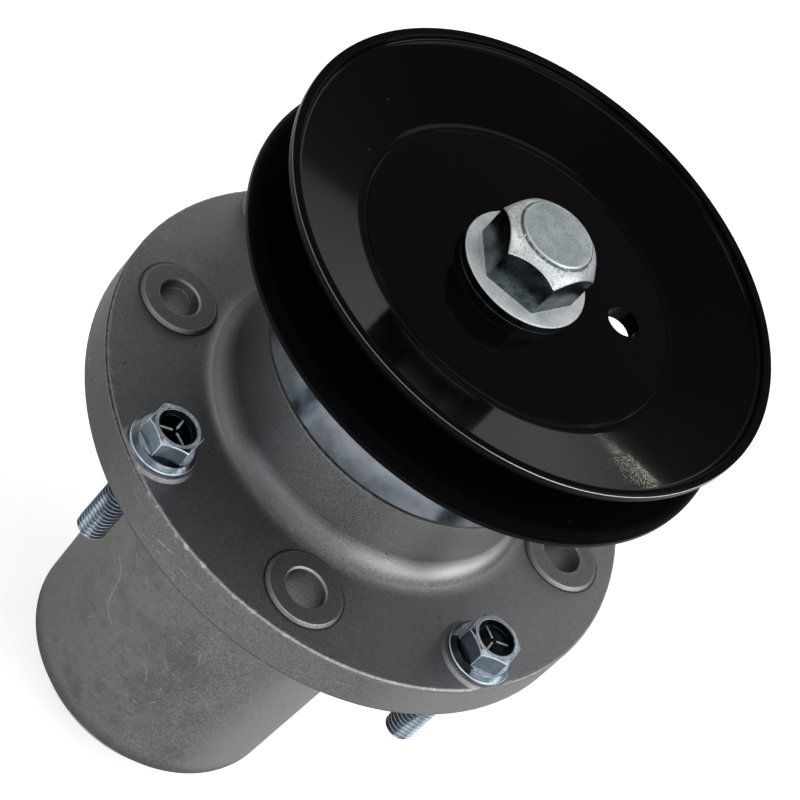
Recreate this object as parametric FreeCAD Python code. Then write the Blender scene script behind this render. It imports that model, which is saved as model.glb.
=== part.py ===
import FreeCAD, Part
import math
import os

# Mower deck spindle: a cast aluminium housing with a round bolting flange, a keyed shaft on
# two sealed ball bearings, and a pressed V-belt pulley held by one bolt in the shaft's end.
# Millimetres. Z runs up the shaft, and Z = 0 is the flange's underside, which sits on the deck.

# Flange and the eight places round it
flange_radius = 74.25
flange_thickness = 12.7
flange_edge_rounding = 0.8
deck_bolt_margin = 8.75
deck_bolt_count = 4
free_hole_margin = 15.45
free_hole_count = 4
free_hole_radius = 5.45
free_pad_radius = 10.7
deck_pad_radius = 9.9
pad_height = 1.0
pad_slope = 0.7
hole_edge_chamfer = 0.4

# Cast hub above the flange and cast barrel below it
hub_foot_radius = 42.7
hub_top_radius = 42.0
hub_height = 22.2
hub_foot_fillet = 7.0
hub_edge_rounding = 0.6
nose_radius = 37.6
nose_height = 4.6
barrel_top_radius = 41.0
barrel_end_radius = 37.7
barrel_length = 104.5
barrel_foot_fillet = 2.0
barrel_edge_rounding = 1.6
seat_shoulder = 3.2
lead_in_chamfer = 0.8

# Two sealed deep-groove ball bearings, 25 x 52 x 15
bearing_bore_radius = 12.5
bearing_outer_radius = 26.0
bearing_width = 15.0
ball_radius = 3.969
ball_count = 9
inner_ring_wall = 3.1
outer_ring_wall = 3.1
ring_edge_rounding = 0.8
seal_thickness = 1.1
seal_inset = 0.4
seal_seat_depth = 1.1
seal_lip_clearance = 0.08
cage_wall = 3.6
cage_back = 1.1
cage_horn_height = 1.4
upper_seat_height = 19.5
lower_end_depth = 4.6

# Retaining rings that hold the outer rings in the housing
clip_thickness = 2.0
clip_groove_depth = 1.5
clip_groove_slack = 0.15
clip_width = 4.2
clip_gap = 9.0
clip_ear_radius = 3.0
clip_ear_hole_radius = 1.1

# Shaft and what is stacked on it
shaft_radius = 12.48
shaft_head_radius = 19.5
shaft_head_thickness = 9.8
shaft_end_chamfer = 1.0
shaft_top_recess = 0.8
spacer_step = 1.4
spacer_tube_step = 0.2
thread_radius = 7.9375
pulley_bolt_length = 32.0
upper_tapped_depth = 36.0
lower_tapped_depth = 38.0
tapped_mouth_chamfer = 1.0
drill_point = 4.0
key_width = 4.76
key_length = 20.0
key_depth_in_shaft = 2.4

# Zinc-plated dust cups over the two ends of the housing
cup_wall = 1.5
upper_cup_radius = 42.2
upper_cup_depth = 14.0
lower_cup_radius = 34.2
lower_cup_depth = 5.3
cup_corner_rounding = 1.8
cup_running_gap = 0.7

# Pressed two-piece pulley on its turned hub
pulley_radius = 66.65
pulley_sheet = 2.2
pulley_half_width = 11.2
groove_angle = 37.0
groove_floor_radius = 44.0
web_bend_radius = 2.0
lip_bend_radius = 2.6
web_hole_radius = 4.4
web_hole_place = 29.5
web_hole_turn = 195.4
pulley_hub_radius = 20.0
pulley_hub_length = 27.2
pulley_hub_chamfer = 1.2

# Pulley bolt and its washer
washer_radius = 16.75
washer_hole_radius = 8.5
washer_thickness = 2.8
washer_edge_rounding = 0.4
pulley_bolt_flats = 23.8
pulley_bolt_corner_height = 9.6
pulley_bolt_dome_radius = 11.5
pulley_bolt_dome_height = 12.3
pulley_bolt_dome_rounding = 9.0
pulley_bolt_ledge_radius = 9.7
pulley_bolt_ledge_height = 13.3
pulley_bolt_crown_radius = 9.2
pulley_bolt_crown_height = 14.0
pulley_bolt_crown_rounding = 0.4
pulley_bolt_turn = 52.0

# Hexagon flange bolts that fix the spindle to the deck
deck_bolt_radius = 3.97
deck_bolt_length = 38.1
deck_bolt_shank_radius = 3.6
deck_bolt_thread_gap = 0.3
deck_bolt_flats = 12.7
deck_bolt_flange_radius = 8.85
deck_bolt_flange_edge = 1.2
deck_bolt_skirt_radius = 7.6
deck_bolt_skirt_height = 2.9
deck_bolt_skirt_rounding = 0.6
deck_bolt_skirt_rise = 0.2
deck_bolt_head_height = 8.7
deck_bolt_rim_radius = 6.05
deck_bolt_rim_rounding = 0.3
deck_bolt_dish_radius = 5.05
deck_bolt_dish_depth = 1.8
deck_bolt_dish_floor_radius = 4.5
deck_bolt_chamfer_angle = 30.0
deck_bolt_end_chamfer = 0.9
deck_bolt_turns = [16.9, 14.7, 40.0, 5.0]

# Clearances
slip = 0.02
bolt_hole_clearance = 0.3
thread_slack = 0.05
ball_clearance = 0.1
pocket_clearance = 0.15
clip_slack = 0.05

# Circles and radii that follow from the sizes above
deck_bolt_circle = 2 * (flange_radius - deck_bolt_margin)
free_hole_circle = 2 * (flange_radius - free_hole_margin)
core_radius = bearing_outer_radius - seat_shoulder
ball_pitch_radius = (bearing_bore_radius + bearing_outer_radius) / 2
inner_shoulder_radius = bearing_bore_radius + inner_ring_wall
outer_shoulder_radius = bearing_outer_radius - outer_ring_wall
spacer_radius = inner_shoulder_radius + spacer_step
spacer_tube_radius = inner_shoulder_radius - spacer_tube_step

# Heights that follow from the sizes above
flange_top = flange_thickness
pad_top = flange_top + pad_height
hub_top = flange_top + hub_height
nose_top = hub_top + nose_height
barrel_end = -barrel_length
upper_bearing_base = upper_seat_height
upper_bearing_top = upper_bearing_base + bearing_width
lower_bearing_base = barrel_end + lower_end_depth
lower_bearing_top = lower_bearing_base + bearing_width
upper_cup_rim = hub_top + cup_running_gap
upper_cup_top = upper_cup_rim + upper_cup_depth
lower_cup_rim = barrel_end - cup_running_gap
lower_cup_base = lower_cup_rim - lower_cup_depth
web_underside = upper_cup_top + pulley_hub_length
pulley_middle = web_underside + pulley_sheet
web_top = pulley_middle + pulley_sheet
washer_top = web_top + washer_thickness
shaft_top = web_top - shaft_top_recess
shaft_base = lower_cup_base - shaft_head_thickness

# Fits that follow from the sizes above
bore_on_shaft = shaft_radius + slip
tapped_radius = thread_radius + thread_slack
deck_bolt_hole_radius = deck_bolt_radius + bolt_hole_clearance
clip_groove_radius = bearing_outer_radius + clip_groove_depth
key_base = shaft_radius - key_depth_in_shaft
key_top = key_base + key_width

up = FreeCAD.Vector(0, 0, 1)
centre = FreeCAD.Vector(0, 0, 0)


def section(corners):
    """Closed face in the XZ plane through corners (radius, height, rounding)."""
    points = [FreeCAD.Vector(r, 0, z) for r, z, rounding in corners]
    joints = []
    for i, here in enumerate(points):
        rounding = corners[i][2]
        if rounding == 0:
            joints.append((here, here, here))
            continue
        back = (points[i - 1] - here).normalize()
        ahead = (points[(i + 1) % len(points)] - here).normalize()
        half = back.getAngle(ahead) / 2
        reach = rounding / math.tan(half)
        inward = (back + ahead).normalize()
        middle = here + inward * (rounding / math.sin(half) - rounding)
        joints.append((here + back * reach, middle, here + ahead * reach))
    edges = []
    for i, (start, middle, end) in enumerate(joints):
        if corners[i][2] > 0:
            edges.append(Part.Arc(start, middle, end).toShape())
        following = joints[(i + 1) % len(joints)][0]
        if end.distanceToPoint(following) > FreeCAD.Base.Precision.confusion():
            edges.append(Part.LineSegment(end, following).toShape())
    return Part.Face(Part.Wire(edges))


def turned(corners):
    """Solid of revolution about Z."""
    return section(corners).revolve(centre, up, 360)


def tube(inner, outer, base, top, rounding=0.0):
    """Turned ring with the four edges of its section rounded."""
    return turned([
        (inner, base, rounding),
        (outer, base, rounding),
        (outer, top, rounding),
        (inner, top, rounding),
    ])


def rod(radius, base, top, x=0.0, y=0.0):
    """Plain upright cylinder."""
    return Part.makeCylinder(radius, top - base, FreeCAD.Vector(x, y, base), up)


def hexagon(flats, base, top, turn):
    """Upright hexagonal prism with a corner at the given turn."""
    corner_radius = flats / math.sqrt(3)
    points = []
    for i in range(7):
        angle = math.radians(turn + 60 * i)
        x = corner_radius * math.cos(angle)
        y = corner_radius * math.sin(angle)
        points.append(FreeCAD.Vector(x, y, base))
    return Part.Face(Part.makePolygon(points)).extrude(up * (top - base))


def places(circle, count, first):
    """Centres of a bolt circle's holes as (x, y)."""
    found = []
    for i in range(count):
        angle = math.radians(first + i * 360 / count)
        found.append((circle / 2 * math.cos(angle), circle / 2 * math.sin(angle)))
    return found


free_places = places(free_hole_circle, free_hole_count, 0)
deck_places = places(deck_bolt_circle, deck_bolt_count, 180 / deck_bolt_count)


def moved(shape, x, y, z):
    """Copy of a shape, shifted."""
    copy = shape.copy()
    copy.translate(FreeCAD.Vector(x, y, z))
    return copy


def housing_blank():
    """Outside of the casting with its bored inside, as one turned section.

    Going up the inside: lower clip groove, lower bearing seat, core, upper seat, upper clip groove.
    """
    lower_clip_near = lower_bearing_base
    lower_clip_far = lower_clip_near - clip_thickness - clip_groove_slack
    upper_clip_near = upper_bearing_top
    upper_clip_far = upper_clip_near + clip_thickness + clip_groove_slack
    seat = bearing_outer_radius + slip
    return turned([
        (seat + lead_in_chamfer, barrel_end, 0),
        (barrel_end_radius, barrel_end, barrel_edge_rounding),
        (barrel_top_radius, 0, barrel_foot_fillet),
        (flange_radius, 0, flange_edge_rounding),
        (flange_radius, flange_top, flange_edge_rounding),
        (hub_foot_radius, flange_top, hub_foot_fillet),
        (hub_top_radius, hub_top, hub_edge_rounding),
        (nose_radius, hub_top, 0),
        (nose_radius, nose_top, hub_edge_rounding),
        (seat + lead_in_chamfer, nose_top, 0),
        (seat, nose_top - lead_in_chamfer, 0),
        (seat, upper_clip_far, 0),
        (clip_groove_radius, upper_clip_far, 0),
        (clip_groove_radius, upper_clip_near, 0),
        (seat, upper_clip_near, 0),
        (seat, upper_bearing_base, 0),
        (core_radius, upper_bearing_base, 0),
        (core_radius, lower_bearing_top, 0),
        (seat, lower_bearing_top, 0),
        (seat, lower_clip_near, 0),
        (clip_groove_radius, lower_clip_near, 0),
        (clip_groove_radius, lower_clip_far, 0),
        (seat, lower_clip_far, 0),
        (seat, barrel_end + lead_in_chamfer, 0),
    ])


def pad(radius):
    """Low round pad with a sloping side, rooted in the flange."""
    root = flange_top - flange_edge_rounding
    return turned([
        (0, root, 0),
        (radius, root, 0),
        (radius, flange_top, 0),
        (radius - pad_slope, pad_top, 0),
        (0, pad_top, 0),
    ])


def flange_hole(radius):
    """Through hole, eased where it opens in the pad's face."""
    return turned([
        (0, 0, 0),
        (radius, 0, 0),
        (radius, pad_top - hole_edge_chamfer, 0),
        (radius + hole_edge_chamfer, pad_top, 0),
        (0, pad_top, 0),
    ])


def spindle_housing():
    """Aluminium casting: round flange, tapered barrel below, hub and bearing nose above."""
    casting = housing_blank()
    flange_limit = rod(flange_radius, 0, pad_top)
    pads = [moved(pad(free_pad_radius), x, y, 0) for x, y in free_places]
    pads += [moved(pad(deck_pad_radius), x, y, 0).common(flange_limit) for x, y in deck_places]
    casting = casting.fuse(pads)
    holes = [moved(flange_hole(free_hole_radius), x, y, 0) for x, y in free_places]
    holes += [moved(flange_hole(deck_bolt_hole_radius), x, y, 0) for x, y in deck_places]
    return casting.cut(holes).removeSplitter()


def deck_bolt(turn):
    """Hexagon flange bolt with a dished head, its washer face at height 0.

    The shank is plain where it passes through the flange, and threaded below it.
    """
    top = deck_bolt_head_height
    thread_start = -pad_top - deck_bolt_thread_gap
    corner_radius = deck_bolt_flats / math.sqrt(3)
    drop = (corner_radius - deck_bolt_rim_radius) * math.tan(math.radians(deck_bolt_chamfer_angle))
    chamfer = turned([
        (0, 0, 0),
        (corner_radius, 0, 0),
        (corner_radius, top - drop, 0),
        (deck_bolt_rim_radius, top, deck_bolt_rim_rounding),
        (deck_bolt_dish_radius, top, deck_bolt_rim_rounding),
        (deck_bolt_dish_floor_radius, top - deck_bolt_dish_depth, deck_bolt_rim_rounding),
        (0, top - deck_bolt_dish_depth, 0),
    ])
    head = hexagon(deck_bolt_flats, 0, top, turn).common(chamfer)
    skirt = turned([
        (0, 0, 0),
        (deck_bolt_flange_radius, 0, 0),
        (deck_bolt_flange_radius, deck_bolt_flange_edge, 0),
        (deck_bolt_skirt_radius, deck_bolt_skirt_height, deck_bolt_skirt_rounding),
        (0, deck_bolt_skirt_height + deck_bolt_skirt_rise, 0),
    ])
    shank = turned([
        (0, -deck_bolt_length, 0),
        (deck_bolt_radius - deck_bolt_end_chamfer, -deck_bolt_length, 0),
        (deck_bolt_radius, -deck_bolt_length + deck_bolt_end_chamfer, 0),
        (deck_bolt_radius, thread_start, 0),
        (deck_bolt_shank_radius, thread_start, 0),
        (deck_bolt_shank_radius, 0, 0),
        (0, 0, 0),
    ])
    return head.fuse([skirt, shank]).removeSplitter()


def ball_track(middle):
    """Ring-shaped space that the balls run in."""
    place = FreeCAD.Vector(0, 0, middle)
    return Part.makeTorus(ball_pitch_radius, ball_radius + ball_clearance, place, up)


def bearing_outer_ring(base):
    """Outer ring with its ball groove and a seat for a seal at each side."""
    top = base + bearing_width
    seat_radius = outer_shoulder_radius + seal_seat_depth
    seat_height = seal_inset + seal_thickness
    ring = turned([
        (seat_radius, base, 0),
        (bearing_outer_radius, base, ring_edge_rounding),
        (bearing_outer_radius, top, ring_edge_rounding),
        (seat_radius, top, 0),
        (seat_radius, top - seat_height, 0),
        (outer_shoulder_radius, top - seat_height, 0),
        (outer_shoulder_radius, base + seat_height, 0),
        (seat_radius, base + seat_height, 0),
    ])
    return ring.cut(ball_track(base + bearing_width / 2))


def bearing_inner_ring(base):
    """Inner ring with its ball groove."""
    top = base + bearing_width
    ring = turned([
        (bearing_bore_radius, base, ring_edge_rounding),
        (inner_shoulder_radius, base, 0),
        (inner_shoulder_radius, top, 0),
        (bearing_bore_radius, top, ring_edge_rounding),
    ])
    return ring.cut(ball_track(base + bearing_width / 2))


def ball_centres(base):
    """Centres of the balls of one bearing."""
    middle = base + bearing_width / 2
    return [FreeCAD.Vector(x, y, middle) for x, y in places(2 * ball_pitch_radius, ball_count, 0)]


def bearing_balls(base):
    """The balls of one bearing, a group of separate solids."""
    return Part.makeCompound([Part.makeSphere(ball_radius, place) for place in ball_centres(base)])


def bearing_cage(base):
    """Moulded crown cage: a ring with a round pocket for each ball, open to one side."""
    middle = base + bearing_width / 2
    pocket_radius = ball_radius + pocket_clearance
    back = middle - pocket_radius - cage_back
    inner = ball_pitch_radius - cage_wall / 2
    outer = ball_pitch_radius + cage_wall / 2
    ring = tube(inner, outer, back, middle + cage_horn_height)
    return ring.cut([Part.makeSphere(pocket_radius, place) for place in ball_centres(base)])


def bearing_seal(base):
    """Rubber-faced seal disc, pressed in the outer ring and running on the inner ring."""
    inner = inner_shoulder_radius + seal_lip_clearance
    return tube(inner, outer_shoulder_radius + seal_seat_depth, base, base + seal_thickness)


def retaining_ring(base):
    """Internal spring clip: a C-shaped ring with two pierced ears."""
    outer = clip_groove_radius - clip_slack
    inner = outer - clip_width
    top = base + clip_thickness
    ring = tube(inner, outer, base, top)
    ear_place = inner + clip_ear_radius / 2
    ear_turn = math.asin((clip_gap / 2 + clip_ear_radius) / ear_place)
    corner = FreeCAD.Vector(0, -clip_gap / 2, base)
    gap = Part.makeBox(clip_groove_radius, clip_gap, clip_thickness, corner)
    ears = []
    holes = []
    for side in (-1, 1):
        x = ear_place * math.cos(ear_turn)
        y = ear_place * math.sin(ear_turn) * side
        ears.append(rod(clip_ear_radius, base, top, x, y))
        holes.append(rod(clip_ear_hole_radius, base, top, x, y))
    limit = rod(bearing_outer_radius, base, top)
    return ring.fuse([ear.common(limit) for ear in ears]).cut([gap] + holes).removeSplitter()


def spindle_shaft():
    """Turned steel shaft: blade seat at the foot, tapped at both ends, key seat near the top."""
    lower_hole_end = shaft_base + lower_tapped_depth
    upper_hole_end = shaft_top - upper_tapped_depth
    blank = turned([
        (0, lower_hole_end + drill_point, 0),
        (tapped_radius, lower_hole_end, 0),
        (tapped_radius, shaft_base + tapped_mouth_chamfer, 0),
        (tapped_radius + tapped_mouth_chamfer, shaft_base, 0),
        (shaft_head_radius, shaft_base, shaft_end_chamfer),
        (shaft_head_radius, lower_cup_base, 0),
        (shaft_radius, lower_cup_base, 0),
        (shaft_radius, shaft_top - shaft_end_chamfer, 0),
        (shaft_radius - shaft_end_chamfer, shaft_top, 0),
        (tapped_radius + tapped_mouth_chamfer, shaft_top, 0),
        (tapped_radius, shaft_top - tapped_mouth_chamfer, 0),
        (tapped_radius, upper_hole_end, 0),
        (0, upper_hole_end - drill_point, 0),
    ])
    return blank.cut(key_blank(slip))


def key_blank(clearance):
    """Square key with round ends, lying in the shaft along X."""
    key_base_height = upper_cup_top + (pulley_hub_length - key_length) / 2
    end_radius = key_width / 2 + clearance
    low = key_base_height + key_width / 2
    high = key_base_height + key_length - key_width / 2
    start = FreeCAD.Vector(key_base - clearance, 0, 0)
    depth = key_top - key_base + 2 * clearance
    along = FreeCAD.Vector(1, 0, 0)
    ends = [Part.makeCylinder(end_radius, depth, start + up * z, along) for z in (low, high)]
    bar = Part.makeBox(depth, 2 * end_radius, high - low, start + FreeCAD.Vector(0, -end_radius, low))
    return bar.fuse(ends).removeSplitter()


def pulley_hub():
    """Turned steel hub with a broached keyway, welded under the pulley's web."""
    hub = turned([
        (bore_on_shaft, upper_cup_top, 0),
        (pulley_hub_radius, upper_cup_top, pulley_hub_chamfer),
        (pulley_hub_radius, web_underside, 0),
        (bore_on_shaft, web_underside, 0),
    ])
    width = key_width + 2 * slip
    corner = FreeCAD.Vector(0, -width / 2, upper_cup_top)
    keyway = Part.makeBox(key_top + slip, width, pulley_hub_length, corner)
    return hub.cut(keyway)


def pulley_half(side):
    """One pressed half: flat web, flank of the V groove, and a lip turned up at the rim."""
    lean = math.radians(groove_angle / 2)
    rise = math.tan(lean)
    across = pulley_sheet / math.cos(lean)
    lip_inner = pulley_radius - pulley_sheet
    bend = groove_floor_radius - (across - pulley_sheet) / rise
    sheet = [
        (bore_on_shaft, 0, 0),
        (groove_floor_radius, 0, web_bend_radius + pulley_sheet),
        (pulley_radius, (pulley_radius - groove_floor_radius) * rise, lip_bend_radius + pulley_sheet),
        (pulley_radius, pulley_half_width, 0),
        (lip_inner, pulley_half_width, 0),
        (lip_inner, (lip_inner - groove_floor_radius) * rise + across, lip_bend_radius),
        (bend, pulley_sheet, web_bend_radius),
        (bore_on_shaft, pulley_sheet, 0),
    ]
    half = turned([(r, pulley_middle + side * z, rounding) for r, z, rounding in sheet])
    turn = math.radians(web_hole_turn)
    x = web_hole_place * math.cos(turn)
    y = web_hole_place * math.sin(turn)
    return half.cut(rod(web_hole_radius, web_underside, web_top, x, y))


def upper_dust_cup():
    """Pressed zinc-plated cup, open downwards, turning with the shaft over the bearing nose."""
    plate = upper_cup_top - cup_wall
    inner = upper_cup_radius - cup_wall
    return turned([
        (bore_on_shaft, plate, 0),
        (inner, plate, cup_corner_rounding),
        (inner, upper_cup_rim, 0),
        (upper_cup_radius, upper_cup_rim, 0),
        (upper_cup_radius, upper_cup_top, cup_corner_rounding + cup_wall),
        (bore_on_shaft, upper_cup_top, 0),
    ])


def lower_dust_cup():
    """Pressed zinc-plated cup, open upwards, under the end of the barrel."""
    plate = lower_cup_base + cup_wall
    inner = lower_cup_radius - cup_wall
    return turned([
        (bore_on_shaft, lower_cup_base, 0),
        (lower_cup_radius, lower_cup_base, cup_corner_rounding + cup_wall),
        (lower_cup_radius, lower_cup_rim, 0),
        (inner, lower_cup_rim, 0),
        (inner, plate, cup_corner_rounding),
        (bore_on_shaft, plate, 0),
    ])


def pulley_bolt():
    """Hexagon bolt whose head has a domed chamfer and a raised round crown."""
    corner_radius = pulley_bolt_flats / math.sqrt(3)
    top = washer_top + pulley_bolt_crown_height
    outline = turned([
        (0, washer_top, 0),
        (corner_radius, washer_top, 0),
        (corner_radius, washer_top + pulley_bolt_corner_height, 0),
        (pulley_bolt_dome_radius, washer_top + pulley_bolt_dome_height, pulley_bolt_dome_rounding),
        (pulley_bolt_ledge_radius, washer_top + pulley_bolt_ledge_height, 0),
        (pulley_bolt_crown_radius, top, pulley_bolt_crown_rounding),
        (0, top, 0),
    ])
    head = hexagon(pulley_bolt_flats, washer_top, top, pulley_bolt_turn).common(outline)
    end = washer_top - pulley_bolt_length
    shank = turned([
        (0, end, 0),
        (thread_radius - tapped_mouth_chamfer, end, 0),
        (thread_radius, end + tapped_mouth_chamfer, 0),
        (thread_radius, washer_top, 0),
        (0, washer_top, 0),
    ])
    return head.fuse(shank)


parts = {
    "spindle_housing": spindle_housing(),
    "upper_bearing_outer_ring": bearing_outer_ring(upper_bearing_base),
    "upper_bearing_inner_ring": bearing_inner_ring(upper_bearing_base),
    "upper_bearing_balls": bearing_balls(upper_bearing_base),
    "upper_bearing_cage": bearing_cage(upper_bearing_base),
    "upper_bearing_top_seal": bearing_seal(upper_bearing_top - seal_inset - seal_thickness),
    "upper_bearing_bottom_seal": bearing_seal(upper_bearing_base + seal_inset),
    "lower_bearing_outer_ring": bearing_outer_ring(lower_bearing_base),
    "lower_bearing_inner_ring": bearing_inner_ring(lower_bearing_base),
    "lower_bearing_balls": bearing_balls(lower_bearing_base),
    "lower_bearing_cage": bearing_cage(lower_bearing_base),
    "lower_bearing_top_seal": bearing_seal(lower_bearing_top - seal_inset - seal_thickness),
    "lower_bearing_bottom_seal": bearing_seal(lower_bearing_base + seal_inset),
    "upper_retaining_ring": retaining_ring(upper_bearing_top),
    "lower_retaining_ring": retaining_ring(lower_bearing_base - clip_thickness),
    "spindle_shaft": spindle_shaft(),
    "inner_spacer_tube": tube(bore_on_shaft, spacer_tube_radius, lower_bearing_top, upper_bearing_base),
    "upper_spacer": tube(bore_on_shaft, spacer_radius, upper_bearing_top, upper_cup_top - cup_wall),
    "lower_spacer": tube(bore_on_shaft, spacer_radius, lower_cup_base + cup_wall, lower_bearing_base),
    "upper_dust_cup": upper_dust_cup(),
    "lower_dust_cup": lower_dust_cup(),
    "pulley_hub": pulley_hub(),
    "pulley_key": key_blank(0),
    "pulley_upper_half": pulley_half(1),
    "pulley_lower_half": pulley_half(-1),
    "pulley_washer": tube(washer_hole_radius, washer_radius, web_top, washer_top, washer_edge_rounding),
    "pulley_bolt": pulley_bolt(),
}
for number, (x, y) in enumerate(deck_places):
    turn = deck_bolt_turns[number % len(deck_bolt_turns)]
    parts["deck_bolt_%d" % (number + 1)] = moved(deck_bolt(turn), x, y, pad_top)

os.makedirs("parts", exist_ok=True)
for name, shape in parts.items():
    shape.exportStep("parts/" + name + ".step")
    print(name, len(shape.Solids), shape.isValid(), round(shape.Volume, 1))
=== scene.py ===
import bpy
import bmesh
import math
from mathutils import Matrix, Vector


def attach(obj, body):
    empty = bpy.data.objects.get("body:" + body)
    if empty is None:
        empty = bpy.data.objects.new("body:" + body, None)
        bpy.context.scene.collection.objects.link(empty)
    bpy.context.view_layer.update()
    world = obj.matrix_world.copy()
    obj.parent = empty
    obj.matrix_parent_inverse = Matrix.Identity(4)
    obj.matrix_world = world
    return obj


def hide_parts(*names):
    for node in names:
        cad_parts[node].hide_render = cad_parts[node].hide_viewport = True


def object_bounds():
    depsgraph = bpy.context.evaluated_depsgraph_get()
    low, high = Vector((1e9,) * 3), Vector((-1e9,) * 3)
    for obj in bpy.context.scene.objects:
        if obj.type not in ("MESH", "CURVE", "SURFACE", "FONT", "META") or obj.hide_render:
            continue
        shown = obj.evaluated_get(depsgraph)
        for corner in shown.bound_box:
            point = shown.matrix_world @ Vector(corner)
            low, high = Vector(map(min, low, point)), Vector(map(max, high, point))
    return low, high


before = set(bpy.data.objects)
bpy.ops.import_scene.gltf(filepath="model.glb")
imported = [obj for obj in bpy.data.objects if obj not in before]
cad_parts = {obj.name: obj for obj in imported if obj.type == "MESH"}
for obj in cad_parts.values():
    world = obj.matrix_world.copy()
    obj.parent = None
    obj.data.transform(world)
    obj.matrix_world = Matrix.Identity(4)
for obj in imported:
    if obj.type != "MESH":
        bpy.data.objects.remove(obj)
cad_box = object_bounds()
mm = 0.001


# The view: from above and to one side of the pulley, with the camera rolled so that the
# shaft leans to the upper right of the picture.
view_azimuth = math.radians(75.47)
view_elevation = math.radians(41.934)
view_roll = math.radians(43.814)
camera_place = (0.13896, 0.53604, 0.52374)
camera_data = bpy.data.cameras.new("camera")
camera_data.lens = 134.9
camera_data.sensor_width = 36.0
camera = bpy.data.objects.new("camera", camera_data)
bpy.context.scene.collection.objects.link(camera)
swing = Matrix.Rotation(view_azimuth + math.pi / 2, 3, "Z")
tip = Matrix.Rotation(math.pi / 2 - view_elevation, 3, "X")
roll = Matrix.Rotation(view_roll, 3, "Z")
camera.rotation_euler = (swing @ tip @ roll).to_euler()
camera.location = camera_place
bpy.context.scene.camera = camera
bpy.context.scene.view_settings.view_transform = "Standard"


# Floor: a pale sheet of paper that the spindle stands on, seen white but for the spindle's
# shadow. Its finish, as every other, is put together node by node, with the sums written out.
class Reading:
    """A shader socket that arithmetic works on."""

    def __init__(self, nodes, socket):
        self.nodes = nodes
        self.socket = socket

    def __add__(self, other):
        return self.nodes.maths("ADD", self, other)

    def __radd__(self, other):
        return self.nodes.maths("ADD", other, self)

    def __sub__(self, other):
        return self.nodes.maths("SUBTRACT", self, other)

    def __rsub__(self, other):
        return self.nodes.maths("SUBTRACT", other, self)

    def __mul__(self, other):
        return self.nodes.maths("MULTIPLY", self, other)

    def __rmul__(self, other):
        return self.nodes.maths("MULTIPLY", other, self)

    def __truediv__(self, other):
        return self.nodes.maths("DIVIDE", self, other)

    def __abs__(self):
        return self.nodes.maths("ABSOLUTE", self)


class Nodes:
    """An emptied tree of nodes, put together again node by node."""

    def __init__(self, tree):
        self.tree = tree
        self.tree.nodes.clear()

    def node(self, kind, settings=None, inputs=None, out=0):
        """Adds a node with its settings and its sockets' values or links, and reads an output."""
        node = self.tree.nodes.new(kind)
        for name, value in (settings or {}).items():
            setattr(node, name, value)
        for name, value in (inputs or {}).items():
            if isinstance(value, Reading):
                self.tree.links.new(value.socket, node.inputs[name])
            else:
                node.inputs[name].default_value = value
        return Reading(self, node.outputs[out]) if len(node.outputs) else None

    def maths(self, operation, *terms):
        """One step of arithmetic on readings and numbers."""
        return self.node("ShaderNodeMath", {"operation": operation}, dict(enumerate(terms)))

    def span(self, first, second):
        """Distance to a place that lies this far off along two ways at right angles."""
        return self.maths("SQRT", first * first + second * second)

    def rise(self, value, low, high):
        """0 below low, 1 above high, and a smooth step between."""
        return self.node("ShaderNodeMapRange", {"interpolation_type": "SMOOTHSTEP"}, {
            "Value": value, "From Min": low, "From Max": high,
        })

    def fall(self, value, low, high):
        """1 below low, 0 above high, and a smooth step between."""
        return 1 - self.rise(value, low, high)

    def shown(self, shader, output="ShaderNodeOutputMaterial"):
        """Makes a shader the one that shows."""
        self.node(output, {}, {"Surface": shader})


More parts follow.
